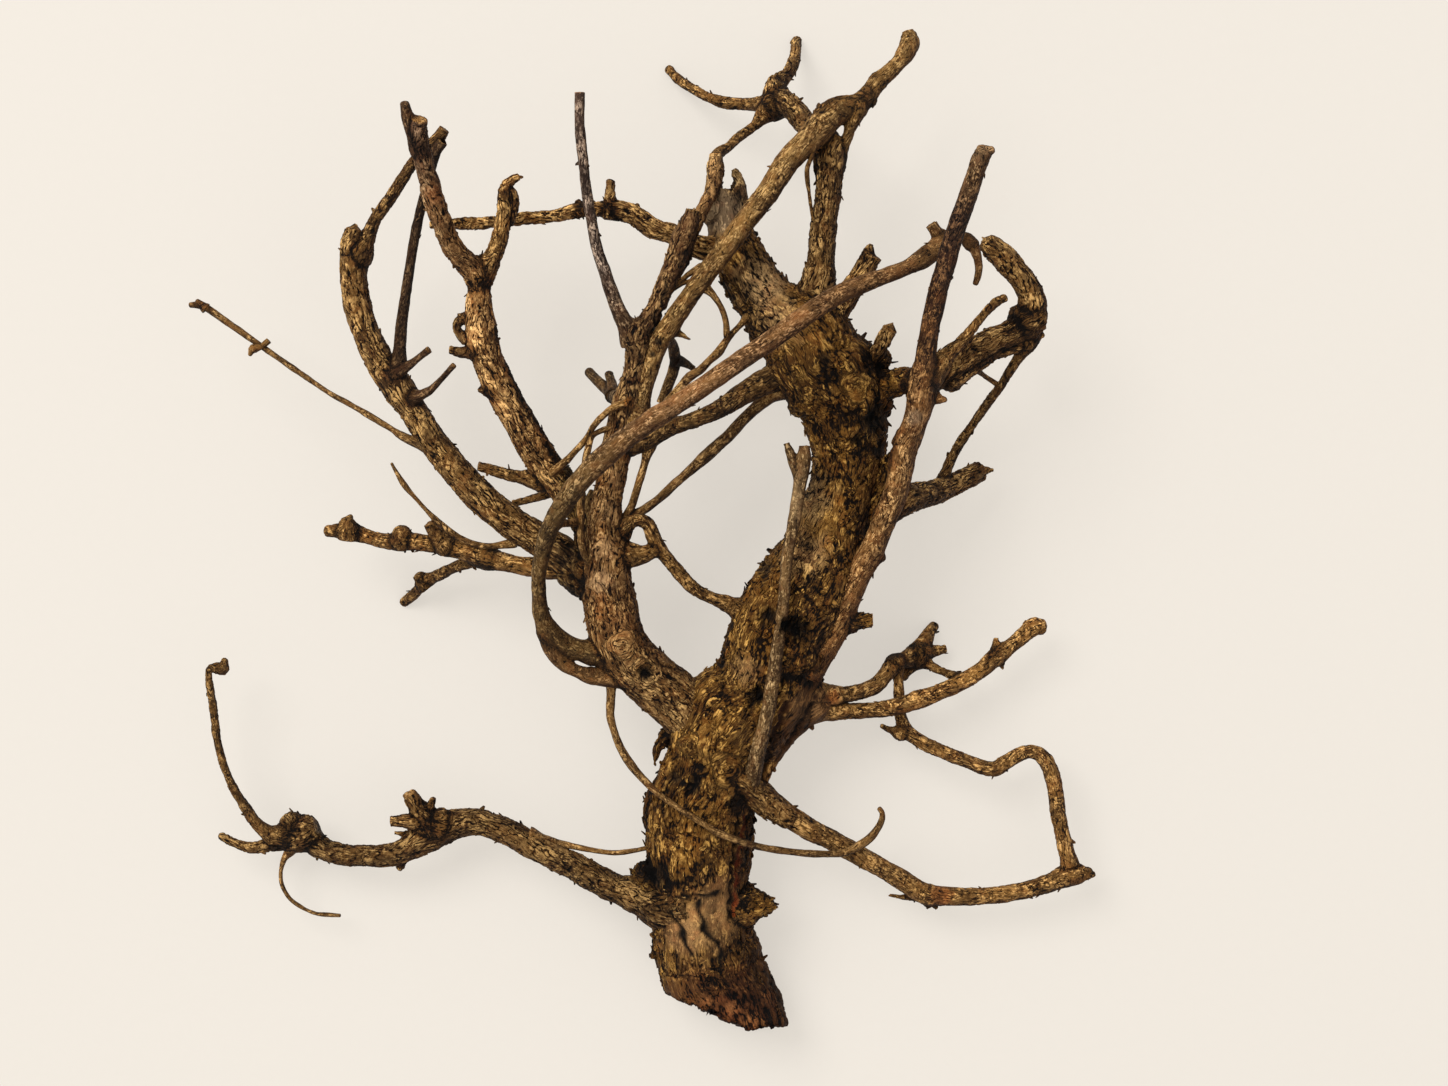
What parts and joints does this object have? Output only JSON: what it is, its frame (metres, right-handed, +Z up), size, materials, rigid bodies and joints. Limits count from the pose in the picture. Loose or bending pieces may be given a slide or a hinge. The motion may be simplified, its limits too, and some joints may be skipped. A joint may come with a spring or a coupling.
{
  "type": "driftwood tree",
  "caption": "Branching piece of weathered driftwood with a short thick trunk and a wide open crown of crooked limbs and twigs, lying on its back.",
  "frame": {"origin": "middle of the bounding box's lower side, on the surface that the piece lies on", "axes": "+Z up from the surface, +Y from the hacked foot of the trunk towards the crown, +X to the right when seen from above with the foot nearest"},
  "size_m": [0.3466, 0.3906, 0.1263],
  "materials": {
    "weathered_wood": "dry matt weathered wood and bark, dark brown in its cracks and tan on its worn ridges"
  },
  "bodies": {
    "root": {"driftwood_tree": "weathered_wood"}
  },
  "joints": []
}
